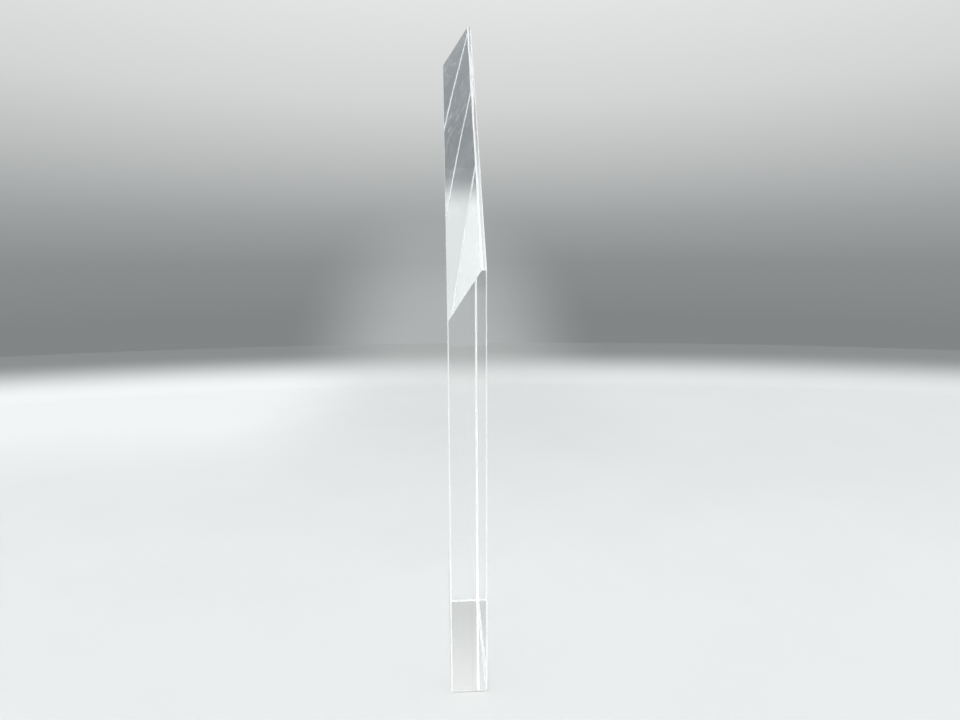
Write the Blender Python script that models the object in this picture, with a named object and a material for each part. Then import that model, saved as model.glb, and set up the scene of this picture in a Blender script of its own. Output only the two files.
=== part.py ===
"""Crystal award: one tall slab of optical crystal with a slanted top and a wide bevel along the slant.

Frame: metres, +Z up, origin at the middle of the foot. The broad front face looks along -Y,
the slab's width runs along X and its thickness along Y. The short side is at +X, the tip at -X.
"""
import math

import bmesh
import bpy
from mathutils import Vector

MM = 0.001

# Driving dimensions of the slab
HEIGHT = 300 * MM        # foot to tip, once the tip's arris is ground
WIDTH = 115 * MM
THICKNESS = 15 * MM
SHORT_SIDE = 175 * MM    # height at which the slanted top meets the short side
# The wide bevel is ground along the slanted top from the front. It runs this far down the front
# face, and leaves a narrow strip of the slanted top along the back.
BEVEL_DROP = 19.5 * MM
TOP_STRIP = 1.8 * MM
# An arris is the narrow flat ground along an edge so that it doesn't cut or chip.
# Every edge has one, and the four around the foot are a little wider.
EDGE_ARRIS = 0.5 * MM
FOOT_ARRIS = 0.7 * MM

# Optical crystal: colourless, fully polished, with the refractive index of borosilicate crown
CRYSTAL_COLOUR = (0.96, 0.98, 0.98)
CRYSTAL_IOR = 1.516

HALF_WIDTH = WIDTH / 2
HALF_THICKNESS = THICKNESS / 2
SLANT_ANGLE = math.atan2(HEIGHT - SHORT_SIDE, WIDTH)


def clear_scene():
    """Remove every object that is already in the file."""
    for old in list(bpy.data.objects):
        bpy.data.objects.remove(old, do_unlink=True)


def material(name, colour, roughness, transmission, ior):
    """A Principled material with these constant values."""
    made = bpy.data.materials.new(name)
    made.use_nodes = True
    shader = made.node_tree.nodes["Principled BSDF"]
    shader.inputs["Base Color"].default_value = (*colour, 1.0)
    shader.inputs["Roughness"].default_value = roughness
    shader.inputs["Metallic"].default_value = 0.0
    shader.inputs["Transmission Weight"].default_value = transmission
    shader.inputs["IOR"].default_value = ior
    return made


def slab_blank(bm, sharp_tip):
    """Extrude the front outline, with its slanted top, through the slab's thickness."""
    outline = [
        (-HALF_WIDTH, 0.0),
        (HALF_WIDTH, 0.0),
        (HALF_WIDTH, SHORT_SIDE),
        (-HALF_WIDTH, sharp_tip),
    ]
    corners = [bm.verts.new((x, -HALF_THICKNESS, z)) for x, z in outline]
    front = bm.faces.new(corners)
    extruded = bmesh.ops.extrude_face_region(bm, geom=[front])
    back = [item for item in extruded["geom"] if isinstance(item, bmesh.types.BMVert)]
    bmesh.ops.translate(bm, verts=back, vec=(0.0, THICKNESS, 0.0))


def cut_bevel(bm, sharp_tip):
    """Cut the wide bevel: a plane through its foot on the front face and its head on the slanted top."""
    foot_of_bevel = Vector((HALF_WIDTH, -HALF_THICKNESS, SHORT_SIDE - BEVEL_DROP))
    head_of_bevel = Vector((HALF_WIDTH, HALF_THICKNESS - TOP_STRIP, SHORT_SIDE))
    along_slant = Vector((-WIDTH, 0.0, sharp_tip - SHORT_SIDE))
    outward = (head_of_bevel - foot_of_bevel).cross(along_slant).normalized()
    if outward.z < 0:
        outward.negate()
    cut = bmesh.ops.bisect_plane(
        bm,
        geom=bm.verts[:] + bm.edges[:] + bm.faces[:],
        plane_co=foot_of_bevel,
        plane_no=outward,
        clear_outer=True,
    )
    rim = [item for item in cut["geom_cut"] if isinstance(item, bmesh.types.BMEdge)]
    bmesh.ops.contextual_create(bm, geom=rim)


def weigh_edges(bm):
    """Give each edge the share of the widest arris that its own arris has."""
    weight = bm.edges.layers.float.new("bevel_weight_edge")
    for edge in bm.edges:
        on_foot = all(abs(vert.co.z) < MM for vert in edge.verts)
        edge[weight] = 1.0 if on_foot else EDGE_ARRIS / FOOT_ARRIS


def crystal_slab():
    """The whole award: the bevelled slab, with an arris on every edge."""
    # The tip's arris takes this much off the sharp tip's height
    sharp_tip = HEIGHT + EDGE_ARRIS * math.sin(SLANT_ANGLE)
    bm = bmesh.new()
    slab_blank(bm, sharp_tip)
    cut_bevel(bm, sharp_tip)
    bmesh.ops.recalc_face_normals(bm, faces=bm.faces[:])
    weigh_edges(bm)
    mesh = bpy.data.meshes.new("crystal_slab")
    bm.to_mesh(mesh)
    bm.free()

    slab = bpy.data.objects.new("crystal_slab", mesh)
    bpy.context.scene.collection.objects.link(slab)
    arris = slab.modifiers.new("arris", "BEVEL")
    arris.width = FOOT_ARRIS
    arris.segments = 1
    arris.offset_type = "OFFSET"
    arris.limit_method = "WEIGHT"
    mesh.materials.append(material("optical_crystal", CRYSTAL_COLOUR, 0.0, 1.0, CRYSTAL_IOR))
    return slab


clear_scene()
crystal_slab()
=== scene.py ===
"""The looks of the crystal award: a hand-finished slab of optical crystal on a pale studio table.

Everything is in metres, +Z up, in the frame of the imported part: the middle of the foot is the
origin, the broad front face looks along -Y and the short side is at +X.
"""
import math

import bpy
import numpy as np
from mathutils import Euler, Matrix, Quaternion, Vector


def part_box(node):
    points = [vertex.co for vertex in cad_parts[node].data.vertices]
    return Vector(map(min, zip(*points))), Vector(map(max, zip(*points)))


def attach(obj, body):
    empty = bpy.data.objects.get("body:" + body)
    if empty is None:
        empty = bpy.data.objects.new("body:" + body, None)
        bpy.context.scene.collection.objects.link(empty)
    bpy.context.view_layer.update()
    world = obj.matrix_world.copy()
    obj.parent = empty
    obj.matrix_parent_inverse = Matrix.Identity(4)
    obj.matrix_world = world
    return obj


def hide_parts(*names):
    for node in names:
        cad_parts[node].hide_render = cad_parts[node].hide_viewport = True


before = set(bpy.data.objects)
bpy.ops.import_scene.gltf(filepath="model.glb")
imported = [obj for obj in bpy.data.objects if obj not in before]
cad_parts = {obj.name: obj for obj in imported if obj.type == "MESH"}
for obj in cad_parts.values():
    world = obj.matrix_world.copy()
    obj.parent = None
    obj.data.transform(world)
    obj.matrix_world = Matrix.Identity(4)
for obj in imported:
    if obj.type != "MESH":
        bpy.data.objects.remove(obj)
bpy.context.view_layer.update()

MM = 0.001

# The slab's own sizes. Its box comes from the frame, the rest from the way that it is cut.
HALF_WIDTH, HALF_THICKNESS, HEIGHT = np.array(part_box("crystal_slab")[1])
SHORT_SIDE = 175 * MM
BEVEL_DROP = 19.5 * MM
TOP_STRIP = 1.8 * MM

# How far the arris along an edge reaches into each of its two faces, in millimetres. They were
# ground by hand, so they aren't alike, and the bevel's edges away from the strip are only just
# broken.
EDGE_ARRIS = 0.45
OTHER_ARRISES = {
    ("foot", "back"): (0.7, 0.7),
    ("foot", "front"): (0.3, 0.3),
    ("foot", "short_end"): (0.4, 0.7),
    ("foot", "tall_end"): (0.35, 0.5),
    ("back", "tall_end"): (0.55, 0.55),
    ("bevel", "strip"): (0.44, 0.44),
    ("bevel", "front"): (0.12, 0.12),
    ("bevel", "short_end"): (0.12, 0.12),
    ("bevel", "tall_end"): (0.12, 0.12),
}

SLANT_ANGLE = math.atan2(HEIGHT - SHORT_SIDE, 2 * HALF_WIDTH)
# How high the sharp tip was before its arris was ground
SHARP_TIP = HEIGHT + EDGE_ARRIS * MM * math.sin(SLANT_ANGLE)

# The slab rests on the table's fine texture, so a film of air stays under its foot
AIR_FILM = 0.1 * MM
TABLE_RADIUS = 2.0
TABLE_RINGS = [0.0, 0.5, 1.0, 1.5]    # the radii of the flat's inner rings
TABLE_SIDES = 360
TABLE_EDGE_X = -0.573    # where the flat of the table ends behind the slab, and its cove starts
COVE_RADIUS = 125 * MM
COVE_TURN = 53           # degrees that the cove sweeps up
COVE_STEPS = 12
COVE_HEIGHT = COVE_RADIUS * (1 - math.cos(math.radians(COVE_TURN)))

CAMERA_PLACE = (0.28298, -0.00915, 0.17753)
CAMERA_DOWN = 9.235     # degrees below the horizon
CAMERA_ASIDE = 3.536    # degrees from the slab's own width
CAMERA_ROLL = -0.136
CAMERA_LENS = 22.5      # millimetres, as is the sensor
SENSOR_WIDTH = 36.0


# ---------------------------------------------------------------- shader nodes

X, Y, Z = 0, 1, 2


class Value:
    """A socket with a number in it. Arithmetic on it adds Math nodes."""

    def __init__(self, tree, socket):
        self.tree = tree
        self.socket = socket

    def maths(self, operation, *others):
        return self.tree.node("ShaderNodeMath", {"operation": operation}, (self, *others))

    def __add__(self, other):
        return self.maths("ADD", other)

    def __radd__(self, other):
        return self.maths("ADD", other)

    def __sub__(self, other):
        return self.maths("SUBTRACT", other)

    def __rsub__(self, other):
        return self.tree.node("ShaderNodeMath", {"operation": "SUBTRACT"}, (other, self))

    def __mul__(self, other):
        return self.maths("MULTIPLY", other)

    def __rmul__(self, other):
        return self.maths("MULTIPLY", other)

    def __truediv__(self, other):
        return self.maths("DIVIDE", other)

    def __pow__(self, other):
        return self.maths("POWER", other)

    def __abs__(self):
        return self.maths("ABSOLUTE")

    def degrees_of_sine(self):
        """The angle, in degrees, whose sine this is."""
        return self.maths("ARCSINE") * (180 / math.pi)

    def step(self, low, high):
        """0 below low, 1 above high, and a smooth rise between them."""
        settings = {"interpolation_type": "SMOOTHSTEP"}
        return self.tree.node("ShaderNodeMapRange", settings, (self, low, high, 0.0, 1.0))


class Tree:
    """The node tree of a material or a world."""

    def __init__(self, owner):
        owner.use_nodes = True
        self.tree = owner.node_tree
        self.tree.nodes.clear()

    def node(self, kind, settings=None, sockets=(), output=0):
        """Add a node. sockets is a tuple in socket order or a dict by name, of values or links."""
        made = self.tree.nodes.new(kind)
        for name, value in (settings or {}).items():
            if name == "stops":
                self.set_stops(made.color_ramp, value)
            else:
                setattr(made, name, value)
        items = sockets.items() if isinstance(sockets, dict) else enumerate(sockets)
        for key, value in items:
            if isinstance(value, Value):
                self.tree.links.new(value.socket, made.inputs[key])
            else:
                made.inputs[key].default_value = value
        return Value(self, made.outputs[output]) if len(made.outputs) else made

    @staticmethod
    def set_stops(ramp, stops):
        """Give a ramp these (place, grey or colour) stops."""
        while len(ramp.elements) < len(stops):
            ramp.elements.new(0.5)
        for element, (place, colour) in zip(ramp.elements, stops):
            element.position = place
            element.color = (*colour, 1.0) if isinstance(colour, tuple) else (colour,) * 3 + (1.0,)

    def object_place(self, scale=(1, 1, 1), turn=(0, 0, 0)):
        """The point on the piece, in metres, turned by degrees and then scaled."""
        place = self.node("ShaderNodeTexCoord", output=3)
        angles = tuple(math.radians(angle) for angle in turn)
        return self.node(
            "ShaderNodeMapping", {}, {"Vector": place, "Rotation": angles, "Scale": scale}
        )

    def mix_colour(self, share, first, second):
        """A colour that goes from the first to the second as share goes from 0 to 1."""
        settings = {"data_type": "RGBA"}
        return self.node("ShaderNodeMix", settings, {0: share, 6: first, 7: second}, output=2)

    def noise(self, place, cells, detail=2.0, roughness=0.5):
        """Soft noise from 0 to 1 at a place, with this many cells to the metre."""
        sockets = {"Vector": place, "Scale": cells, "Detail": detail, "Roughness": roughness}
        return self.node("ShaderNodeTexNoise", {}, sockets)

    def part(self, vector, index):
        """One of a vector's numbers: X, Y or Z."""
        return self.node("ShaderNodeSeparateXYZ", {}, (vector,), output=index)

    def bump(self, strength, depth, height):
        """The normal of a surface that swells and sinks this deep, in metres, with a height."""
        sockets = {"Strength": strength, "Distance": depth, "Height": height}
        return self.node("ShaderNodeBump", {}, sockets)

    def crystal(self, tint, roughness, normal):
        """Clear crystal, with this roughness and normal."""
        sockets = {
            "Base Color": tint,
            "Roughness": roughness,
            "IOR": CRYSTAL_IOR,
            "Transmission Weight": 1.0,
            "Normal": normal,
        }
        return self.node("ShaderNodeBsdfPrincipled", {}, sockets)

    def surface(self, shader):
        """Make this shader the material's surface."""
        self.node("ShaderNodeOutputMaterial", {}, {"Surface": shader})


def new_material(name):
    made = bpy.data.materials.new(name)
    return made, Tree(made)


# ---------------------------------------------------------------- the crystal's finishes

CRYSTAL_TINT = (0.985, 0.995, 0.992, 1.0)
GROUND_TINT = (0.99, 1.0, 0.995, 1.0)
CRYSTAL_IOR = 1.516
FROST_WHITE = (0.97, 0.985, 0.98, 1.0)

# Each pattern is a noise with this many cells to the metre
WIPE_CELLS = 420
PATCH_CELLS = 24
DUST_CELLS = 1500
SWELL_CELLS = 45
GRIT_CELLS = 9000

# A mark fades in where its noise rises from the first level to the second
WIPE_LEVELS = (0.50, 0.74)
WIPED_PATCHES = (0.46, 0.70)
SPECK_LEVELS = (0.66, 0.74)
DUSTY_PATCHES = (0.40, 0.62)
HEAVY_WIPE_LEVELS = (0.48, 0.74)
HEAVY_PATCHES = (0.40, 0.60)
THUMB_LEVELS = (0.48, 0.66)

WIPE_TURN = 38           # degrees from upright that the wipe marks run
WIPE_SQUASH = 0.16       # how much coarser they are along their length
WIPE_ROUGHNESS = 0.08
SWELL_DEPTH = 0.02 * MM
# Only the bevel and the strip lean so that the upright share of their normal is between these
SLOPE_STARTS = (0.2, 0.5)
SLOPE_ENDS = (0.80, 0.95)
THUMB_MARK = (8 * MM, 219 * MM)    # across and up
THUMB_FADE = (7 * MM, 21 * MM)

# How white each kind of mark is at its heaviest
SMEAR_WHITE = 0.09
SPECK_WHITE = 0.14
HEAVY_WIPE_WHITE = 0.13
THUMB_WHITE = 0.09

GRIT_ROUGHNESS = (0.36, 0.16)      # least, and how much more the grit adds
GRIT_WHITE = (0.50, 0.20)
GRIT_DEPTH = 0.01 * MM
FROST_SENT_BACK = 0.65             # the rest of the frost's light goes on through


def polished_crystal():
    """Clear crystal, polished by hand: faintly wavy, with wipe marks left in the shine."""
    made, tree = new_material("polished_crystal")
    place = tree.object_place()
    # Wipe marks run a little off the slant, long and thin
    along_wipes = tree.object_place(scale=(1.0, 1.0, WIPE_SQUASH), turn=(0, WIPE_TURN, 0))
    marks = tree.noise(along_wipes, WIPE_CELLS, detail=5, roughness=0.6)
    patches = tree.noise(place, PATCH_CELLS, detail=3, roughness=0.55)
    smear = marks.step(*WIPE_LEVELS) * patches.step(*WIPED_PATCHES)
    # Fine dust and dried specks, thin on the faces
    dust = tree.noise(place, DUST_CELLS, detail=2, roughness=0.6)
    specks = dust.step(*SPECK_LEVELS) * patches.step(*DUSTY_PATCHES)
    # The waviness of a hand-held polish: very shallow swells about two centimetres across
    swells = tree.noise(place, SWELL_CELLS, detail=1, roughness=0.4)
    # The slope is where hands touch it: its wipe marks are heavier, and a thumb has left a smudge
    upright = abs(tree.part(tree.node("ShaderNodeNewGeometry", output=1), Z))
    slope = upright.step(*SLOPE_STARTS) * (1 - upright.step(*SLOPE_ENDS))
    heavier = slope * marks.step(*HEAVY_WIPE_LEVELS) * patches.step(*HEAVY_PATCHES)
    across, up = tree.part(place, X) - THUMB_MARK[0], tree.part(place, Z) - THUMB_MARK[1]
    from_thumb = (across**2 + up**2) ** 0.5
    thumb = slope * (1 - from_thumb.step(*THUMB_FADE)) * dust.step(*THUMB_LEVELS)
    normal = tree.bump(0.1, SWELL_DEPTH, swells)
    glass = tree.crystal(CRYSTAL_TINT, WIPE_ROUGHNESS * smear, normal)
    # What a wipe leaves behind is a film that turns a little of the light white
    film = tree.node("ShaderNodeBsdfDiffuse", {}, {"Color": FROST_WHITE})
    share = SMEAR_WHITE * smear + SPECK_WHITE * specks
    share = share + HEAVY_WIPE_WHITE * heavier + THUMB_WHITE * thumb
    tree.surface(tree.node("ShaderNodeMixShader", {}, (share, glass, film)))
    return made


def ground_crystal():
    """The arrises: crystal ground with fine grit and left so. It scatters light and looks white."""
    made, tree = new_material("ground_arris")
    grit = tree.noise(tree.object_place(), GRIT_CELLS, detail=3, roughness=0.7)
    roughness = GRIT_ROUGHNESS[0] + GRIT_ROUGHNESS[1] * grit
    glass = tree.crystal(GROUND_TINT, roughness, tree.bump(0.2, GRIT_DEPTH, grit))
    # The finest cracks left by the grit scatter light both ways, like frost
    through = tree.node("ShaderNodeBsdfTranslucent", {}, {"Color": FROST_WHITE})
    back = tree.node("ShaderNodeBsdfDiffuse", {}, {"Color": FROST_WHITE})
    frost = tree.node("ShaderNodeMixShader", {}, (FROST_SENT_BACK, through, back))
    share = GRIT_WHITE[0] + GRIT_WHITE[1] * grit
    tree.surface(tree.node("ShaderNodeMixShader", {}, (share, glass, frost)))
    return made


# ---------------------------------------------------------------- the crystal's shape

FRONT_TO_TOP = np.array([0.0, 2 * HALF_THICKNESS - TOP_STRIP, BEVEL_DROP])
ALONG_SLANT = np.array([-2 * HALF_WIDTH, 0.0, SHARP_TIP - SHORT_SIDE])


def unit(vector):
    return vector / np.linalg.norm(vector)


# The seven polished planes: each one's outward normal and a point on it
PLANES = {
    "foot": (np.array([0.0, 0.0, -1.0]), np.zeros(3)),
    "front": (np.array([0.0, -1.0, 0.0]), np.array([0.0, -HALF_THICKNESS, 0.0])),
    "back": (np.array([0.0, 1.0, 0.0]), np.array([0.0, HALF_THICKNESS, 0.0])),
    "short_end": (np.array([1.0, 0.0, 0.0]), np.array([HALF_WIDTH, 0.0, 0.0])),
    "tall_end": (np.array([-1.0, 0.0, 0.0]), np.array([-HALF_WIDTH, 0.0, 0.0])),
    "strip": (
        unit(np.cross(np.array([0.0, 1.0, 0.0]), ALONG_SLANT)),
        np.array([HALF_WIDTH, 0.0, SHORT_SIDE]),
    ),
    "bevel": (
        unit(np.cross(FRONT_TO_TOP, ALONG_SLANT)),
        np.array([HALF_WIDTH, -HALF_THICKNESS, SHORT_SIDE - BEVEL_DROP]),
    ),
}

# Each face's neighbours, anticlockwise from outside, starting at its lower side
NEIGHBOURS = {
    "front": ["foot", "short_end", "bevel", "tall_end"],
    "back": ["foot", "tall_end", "strip", "short_end"],
    "bevel": ["front", "short_end", "strip", "tall_end"],
    "strip": ["bevel", "short_end", "back", "tall_end"],
    "foot": ["front", "tall_end", "back", "short_end"],
    "short_end": ["foot", "back", "strip", "bevel", "front"],
    "tall_end": ["foot", "front", "bevel", "strip", "back"],
}
ENDS = {"short_end", "tall_end"}
CELLS_UP = 90
CELLS_ACROSS_WIDTH = 110
CELLS_ACROSS_STRIP = 1
CELLS_ACROSS_BEVEL = 7


def cells_along(face, neighbour):
    """How many cells an edge between two faces is divided into."""
    pair = {face, neighbour}
    if not pair & ENDS:
        return CELLS_ACROSS_WIDTH
    if "strip" in pair:
        return CELLS_ACROSS_STRIP
    if "bevel" in pair:
        return CELLS_ACROSS_BEVEL
    if "foot" in pair:
        return CELLS_ACROSS_STRIP + CELLS_ACROSS_BEVEL
    return CELLS_UP


def arris_width(face, neighbour):
    """How far the arris between two faces reaches into the first of them, in metres."""
    if (face, neighbour) in OTHER_ARRISES:
        return OTHER_ARRISES[face, neighbour][0] * MM
    if (neighbour, face) in OTHER_ARRISES:
        return OTHER_ARRISES[neighbour, face][1] * MM
    return EDGE_ARRIS * MM


def side_line(face, neighbour):
    """The line on a face where the arris towards a neighbour starts.

    It is given by the direction in the face's plane that points at the neighbour, square to
    their shared edge, and by how far the line lies along that direction.
    """
    normal, point = PLANES[face]
    other_normal, other_point = PLANES[neighbour]
    outward = unit(other_normal - (other_normal @ normal) * normal)
    # A point on the shared edge: go from the face's point along outward until the other plane
    on_edge = point + outward * (((other_point - point) @ other_normal) / (outward @ other_normal))
    return outward, outward @ on_edge - arris_width(face, neighbour)


def inset_corner(face, first, second):
    """The corner of a polished face between its sides towards two neighbours.

    It is where three planes meet: the face's own, and one square to it through each side's line.
    """
    normal, point = PLANES[face]
    lines = [side_line(face, first), side_line(face, second)]
    planes = np.array([normal, lines[0][0], lines[1][0]])
    distances = np.array([normal @ point, lines[0][1], lines[1][1]])
    return np.linalg.solve(planes, distances)


# Each wave in a hand-ground arris: its height, its length in millimetres and its share of the phase
GRINDING_WAVES = [(1.0, 31, 1.0), (0.6, 12.7, 2.3), (0.35, 5.9, 4.1)]
# The shares by which an arris's width changes, at the short end and at the tall end. The two along
# the slanted top wander most, towards the tip, where the slab was hardest to hold.
ARRIS_WANDER = (0.015, 0.015)
OTHER_WANDERS = {
    frozenset(("strip", "bevel")): (0.05, 0.50),
    frozenset(("strip", "back")): (0.03, 0.20),
}
# No two arrises' waves start alike: the phase steps this much from face to face, and from
# neighbour to neighbour
FACE_PHASE = 1.7
NEIGHBOUR_PHASE = 0.9


def hand_ground(length, share, phase):
    """How much wider or narrower a hand-ground arris runs along its length, as arrays in and out.

    Three sine waves with unrelated wavelengths, which fade out towards both ends.
    """
    waves = sum(
        height * np.sin(2 * math.pi * length / (wavelength * MM) + turn * phase)
        for height, wavelength, turn in GRINDING_WAVES
    )
    return waves * np.sin(math.pi * share) ** 0.5


def side_curve(face, index):
    """The points along one side of a polished face, anticlockwise, as an array."""
    sides = NEIGHBOURS[face]
    neighbour = sides[index]
    start = inset_corner(face, sides[index - 1], neighbour)
    end = inset_corner(face, neighbour, sides[(index + 1) % len(sides)])
    share = np.linspace(0.0, 1.0, cells_along(face, neighbour) + 1)
    straight = start + share[:, None] * (end - start)
    outward = side_line(face, neighbour)[0]
    names = list(PLANES)
    phase = FACE_PHASE * names.index(face) + NEIGHBOUR_PHASE * names.index(neighbour)
    near, far = OTHER_WANDERS.get(frozenset((face, neighbour)), ARRIS_WANDER)
    reach = (HALF_WIDTH - straight[:, 0]) / (2 * HALF_WIDTH)
    wander = arris_width(face, neighbour) * (near + (far - near) * reach**2)
    length = share * np.linalg.norm(end - start)
    return straight - outward * (wander * hand_ground(length, share, phase))[:, None]


def grid_faces(columns, rows):
    """Quads over a grid of points stored row by row.

    They run anticlockwise where the columns run right and the rows up.
    """
    corner = (np.arange(rows - 1)[:, None] * columns + np.arange(columns - 1)).ravel()
    return np.stack([corner, corner + 1, corner + columns + 1, corner + columns], axis=1)


def polished_face(face):
    """A flat face filled between its four sides, as a grid of two parameters.

    The point at (u, v) is the blend of the lower and upper sides by v, plus the blend of the left
    and right sides by u, less the blend of the four corners. An end face's bevel and strip
    together make its upper side.
    """
    curves = [side_curve(face, index) for index in range(len(NEIGHBOURS[face]))]
    if face in ENDS:
        curves[2:4] = [np.concatenate([curves[2], curves[3][1:]])]
    lower, right, upper, left = curves[0], curves[1], curves[2][::-1], curves[3][::-1]
    u = np.linspace(0.0, 1.0, len(lower))[None, :, None]
    v = np.linspace(0.0, 1.0, len(right))[:, None, None]
    by_height = (1 - v) * lower[None] + v * upper[None]
    by_width = (1 - u) * left[:, None] + u * right[:, None]
    low_corners = (1 - u) * lower[0] + u * lower[-1]
    high_corners = (1 - u) * upper[0] + u * upper[-1]
    points = by_height + by_width - (1 - v) * low_corners - v * high_corners
    return points.reshape(-1, 3), grid_faces(len(lower), len(right))


def arris_strip(face, neighbour):
    """The ground flat between two faces: straight across from one face's side to the other's."""
    own = side_curve(face, NEIGHBOURS[face].index(neighbour))
    other = side_curve(neighbour, NEIGHBOURS[neighbour].index(face))[::-1]
    points = np.concatenate([other, own])
    return points, grid_faces(len(own), 2)


def arris_corner(face, first, second):
    """The small ground triangle where three arrises meet, anticlockwise from outside."""
    points = np.array(
        [
            inset_corner(face, first, second),
            inset_corner(first, second, face),
            inset_corner(second, face, first),
        ]
    )
    return points, np.array([[0, 1, 2]])


def weld(parts):
    """Join (points, faces, slot) parts into one mesh's arrays, with each shared point kept once."""
    points = np.concatenate([part[0] for part in parts])
    starts = np.cumsum([0] + [len(part[0]) for part in parts[:-1]])
    grain = 0.001 * MM    # points nearer than about this are one
    _, first, same = np.unique(
        np.round(points / grain).astype(np.int64), axis=0, return_index=True, return_inverse=True
    )
    same = same.reshape(-1)
    faces = [same[part[1] + start] for part, start in zip(parts, starts)]
    slots = np.concatenate([np.full(len(part[1]), part[2]) for part in parts])
    return points[first], faces, slots


def mesh_piece(name, parts, materials):
    """A mesh object at the origin from (points, faces, slot) parts."""
    points, faces, slots = weld(parts)
    mesh = bpy.data.meshes.new(name)
    mesh.from_pydata(points.tolist(), [], [face for part in faces for face in part.tolist()])
    for one in materials:
        mesh.materials.append(one)
    mesh.polygons.foreach_set("material_index", slots.astype(np.int32))
    mesh.update()
    piece = bpy.data.objects.new(name, mesh)
    bpy.context.scene.collection.objects.link(piece)
    return piece


def crystal():
    """The slab: seven polished faces, fifteen ground arrises and ten ground corners."""
    polished, ground = 0, 1
    # Each edge is met from both of its faces, and each corner from all three: one of each is kept
    pairs, trios = {}, {}
    for face, sides in NEIGHBOURS.items():
        for index, side in enumerate(sides):
            pairs[frozenset((face, side))] = (face, side)
            trios[frozenset((face, sides[index - 1], side))] = (face, sides[index - 1], side)
    parts = [(*polished_face(face), polished) for face in PLANES]
    parts += [(*arris_strip(*pair), ground) for pair in pairs.values()]
    parts += [(*arris_corner(*trio), ground) for trio in trios.values()]
    piece = mesh_piece("polished_slab", parts, [polished_crystal(), ground_crystal()])
    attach(piece, "root")
    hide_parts("crystal_slab")


# ---------------------------------------------------------------- table, backdrop and light

TABLE_SHADES = [(0.424, 0.427, 0.424), (0.443, 0.446, 0.443)]
MOTTLE_LEVELS = (0.3, 0.7)    # the noise levels of the two shades
MOTTLE_CELLS = 14
LAMINATE_CELLS = 2600
MOTTLE_SHARE = 0.6
LAMINATE_DEPTH = 0.05 * MM
LAMINATE_ROUGHNESS = 0.55
BLACK = (0.0, 0.0, 0.0, 1.0)
# Every fade on the table runs between two distances in metres, to the back, the side or the right
# Painted shade: the table's colour is darkened towards the back, and more towards the right
PAINTED_SHADE = 0.07
PAINTED_SHADE_RIGHT = 0.06
PAINTED_SHADE_BACK_FADE = (-0.02, 0.42)
PAINTED_SHADE_RIGHT_FADE = (-0.30, 0.10)
# Painted light: the table is lightened at its far corners, under the soft boxes, more on the left
PAINTED_LIGHT_WHITE = (0.55, 0.553, 0.549, 1.0)
PAINTED_LEFT_LIGHT = 0.48
PAINTED_RIGHT_LIGHT = 0.14
CORNER_BACK_FADE = (0.15, 0.40)
CORNER_SIDE_FADE = (0.08, 0.26)
COVE_GREY = (0.112, 0.118, 0.117, 1.0)
# Painted light: the cove's grey is lighter in the middle, continuing the backdrop's glow
COVE_PAINTED_GLOW = (0.205, 0.213, 0.210, 1.0)
COVE_SIDE_FADE = (0.06, 0.26)
COVE_FADED = 0.8              # the share of the cove's height over which it turns grey


def table_finish():
    """Pale matt laminate with a faint mottle, which fades to the backdrop's grey up the cove."""
    made, tree = new_material("pale_table")
    place = tree.object_place()
    mottle = tree.noise(place, MOTTLE_CELLS, detail=4)
    fine = tree.noise(place, LAMINATE_CELLS, detail=2)
    shade = mottle * MOTTLE_SHARE + fine * (1 - MOTTLE_SHARE)
    stops = list(zip(MOTTLE_LEVELS, TABLE_SHADES))
    colour = tree.node("ShaderNodeValToRGB", {"stops": stops}, (shade,))
    # Painted shade darker to the back and right, painted light far out under the soft boxes
    back = tree.part(place, X) * -1.0
    right = tree.part(place, Y)
    painted_shade_share = back.step(*PAINTED_SHADE_BACK_FADE) * (PAINTED_SHADE + PAINTED_SHADE_RIGHT * right.step(*PAINTED_SHADE_RIGHT_FADE))
    colour = tree.mix_colour(painted_shade_share, colour, BLACK)
    # Painted light from the soft boxes, whitening the colour at the far corners
    painted_left_share = PAINTED_LEFT_LIGHT * (right * -1.0).step(*CORNER_SIDE_FADE)
    painted_corner_light = painted_left_share + PAINTED_RIGHT_LIGHT * right.step(*CORNER_SIDE_FADE)
    colour = tree.mix_colour(back.step(*CORNER_BACK_FADE) * painted_corner_light, colour, PAINTED_LIGHT_WHITE)
    # The cove's middle is painted lighter, as painted light from the backdrop's glow
    grey = tree.mix_colour(abs(right).step(*COVE_SIDE_FADE), COVE_PAINTED_GLOW, COVE_GREY)
    risen = tree.part(place, Z).step(0.0, COVE_FADED * COVE_HEIGHT)
    sockets = {
        "Base Color": tree.mix_colour(risen, colour, grey),
        "Roughness": LAMINATE_ROUGHNESS,
        "Normal": tree.bump(0.1, LAMINATE_DEPTH, fine),
    }
    tree.surface(tree.node("ShaderNodeBsdfPrincipled", {}, sockets))
    return made


def table():
    """A round table top turned from a profile: flat, then a cove that sweeps up at its rim.

    Along the profile the radius grows and the height stays nought, and then both follow a circle.
    """
    turns = np.linspace(0.0, 2 * math.pi, TABLE_SIDES + 1)
    sweep = np.radians(np.linspace(0.0, COVE_TURN, COVE_STEPS + 1))
    radius = np.concatenate([TABLE_RINGS, TABLE_RADIUS + COVE_RADIUS * np.sin(sweep)])
    height = np.concatenate([np.zeros(len(TABLE_RINGS)), COVE_RADIUS * (1 - np.cos(sweep))])
    x = TABLE_EDGE_X + TABLE_RADIUS + radius[:, None] * np.cos(turns)
    y = radius[:, None] * np.sin(turns)
    z = np.broadcast_to(height[:, None] - AIR_FILM, x.shape)
    points = np.stack([x, y, z], axis=2).reshape(-1, 3)
    faces = grid_faces(len(turns), len(radius))[:, ::-1]
    top = mesh_piece("table_top", [(points, faces, 0)], [table_finish()])
    top.data.shade_smooth()


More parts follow.
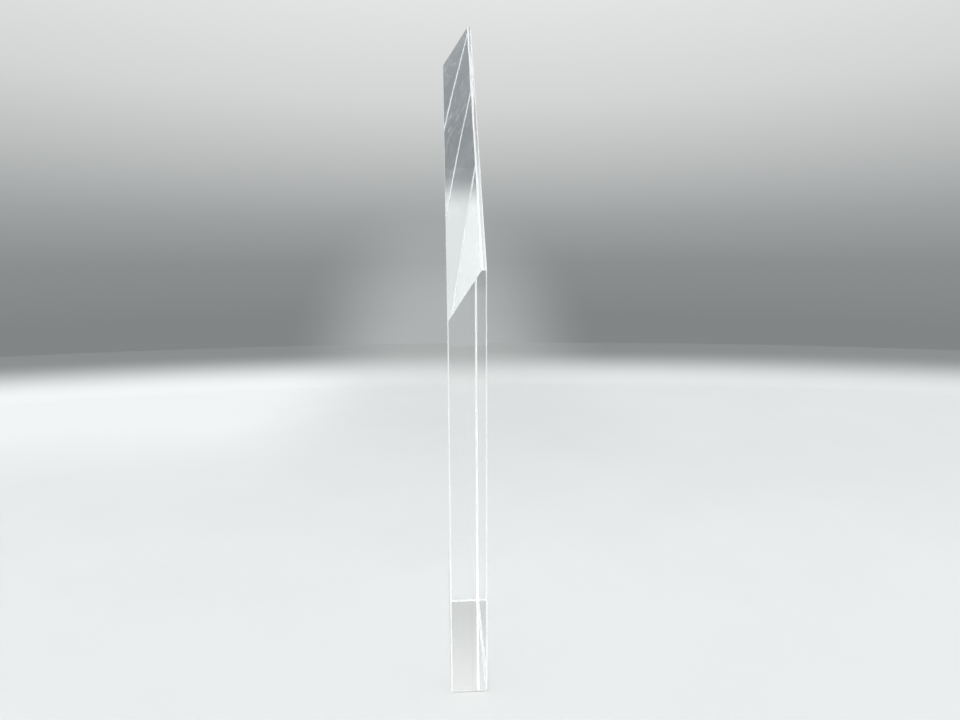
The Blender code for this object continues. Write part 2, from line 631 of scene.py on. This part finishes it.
# How bright the studio is at each height above the horizon, in degrees: behind the slab, where a
# grey backdrop meets the table in a soft sweep, aside, where large soft boxes hang, and in front
BACKDROP_TONES = [
    (-90, 0.10),
    (-14, 0.24),
    (-5, 0.235),
    (0, 0.275),
    (4, 0.36),
    (9, 0.52),
    (14, 0.66),
    (22, 0.78),
    (28, 0.66),
    (32, 0.60),
    (38, 0.78),
    (46, 1.4),
    (60, 1.6),
    (90, 1.2),
]
SOFT_BOX_TONES = [
    (-90, 0.10),
    (-14, 0.25),
    (2, 0.36),
    (14, 0.60),
    (21, 1.0),
    (27, 3.9),
    (60, 3.9),
    (72, 1.4),
    (90, 1.2),
]
FRONT_TONES = [
    (-90, 0.10),
    (-14, 0.25),
    (2, 0.36),
    (14, 0.60),
    (24, 0.90),
    (36, 2.2),
    (60, 2.4),
    (90, 1.2),
]
SOFT_BOX_EDGE = (60, 72)    # degrees from straight behind over which the soft boxes start
FRONT_EDGE = (112, 138)     # and over which they end
# A low glow on the middle of the backdrop fades out round a point just under the horizon, over
# this many degrees to the side and upwards
GLOW = 0.21
GLOW_UNDER = 10
GLOW_WIDTH = 15
GLOW_HEIGHT = 17
GLOW_FADE = (0.25, 1.0)
STUDIO_WHITE = (0.99, 1.0, 0.997, 1.0)
SHADE_COOL = (0.955, 1.0, 1.01, 1.0)
SHADE_FADE = (0.15, 0.75)   # the brightness over which cool shade turns white
# A window's cooler light, in degrees from straight behind and above the horizon
WINDOW_BLUE = (0.82, 0.93, 1.07, 1.0)
WINDOW_STARTS = (34, 44)
WINDOW_ENDS = (62, 70)
WINDOW_SILL = (24, 30)


def tone_by_height(tree, elevation, tones):
    """A grey that follows a table of (degrees above the horizon, brightness), and its scale."""
    brightest = max(tone for _, tone in tones)
    stops = [((angle + 90) / 180, tone / brightest) for angle, tone in tones]
    ramp = tree.node("ShaderNodeValToRGB", {"stops": stops}, ((elevation + 90) / 180,))
    return ramp * brightest


def studio():
    """Soft light from all round.

    A grey backdrop, cooler daylight high beside it, soft boxes high on the sides, and a pale room
    in front.
    """
    world = bpy.data.worlds.new("studio")
    bpy.context.scene.world = world
    tree = Tree(world)
    place = tree.node("ShaderNodeTexCoord")
    behind = tree.part(place, X) * -1.0
    aside = abs(tree.part(place, Y))
    elevation = tree.part(place, Z).degrees_of_sine()
    # Degrees away from straight behind the slab
    turned = aside.maths("ARCTAN2", behind) * (180 / math.pi)
    spread = ((turned / GLOW_WIDTH) ** 2 + ((elevation + GLOW_UNDER) / GLOW_HEIGHT) ** 2) ** 0.5
    glow = (1 - spread.step(*GLOW_FADE)) * GLOW
    boxes = turned.step(*SOFT_BOX_EDGE)
    front = turned.step(*FRONT_EDGE)
    backdrop = tone_by_height(tree, elevation, BACKDROP_TONES) + glow
    sides = tone_by_height(tree, elevation, SOFT_BOX_TONES)
    room = sides * (1 - front) + tone_by_height(tree, elevation, FRONT_TONES) * front
    light = backdrop * (1 - boxes) + room * boxes
    colour = tree.mix_colour(light.step(*SHADE_FADE), SHADE_COOL, STUDIO_WHITE)
    window = turned.step(*WINDOW_STARTS) * (1 - turned.step(*WINDOW_ENDS))
    colour = tree.mix_colour(window * elevation.step(*WINDOW_SILL), colour, WINDOW_BLUE)
    background = tree.node("ShaderNodeBackground", {}, {"Color": colour, "Strength": light})
    tree.node("ShaderNodeOutputWorld", {}, {"Surface": background})


def camera():
    """Low and close, looking along the slab's width at its short side."""
    made = bpy.data.objects.new("camera", bpy.data.cameras.new("camera"))
    bpy.context.scene.collection.objects.link(made)
    made.data.sensor_width = SENSOR_WIDTH
    made.data.lens = CAMERA_LENS
    made.data.clip_start = 10 * MM
    made.location = CAMERA_PLACE
    aimed = Euler((math.radians(90 - CAMERA_DOWN), 0, math.radians(90 - CAMERA_ASIDE)))
    roll = Quaternion((0, 0, 1), math.radians(CAMERA_ROLL))
    made.rotation_mode = "QUATERNION"
    made.rotation_quaternion = aimed.to_quaternion() @ roll
    bpy.context.scene.camera = made


camera()
studio()
table()
crystal()

scene = bpy.context.scene
scene.view_settings.view_transform = "Standard"
scene.cycles.blur_glossy = 0.0
# Light crosses the slab many times before it leaves it
scene.cycles.max_bounces = 24
scene.cycles.transmission_bounces = 24
scene.cycles.glossy_bounces = 16
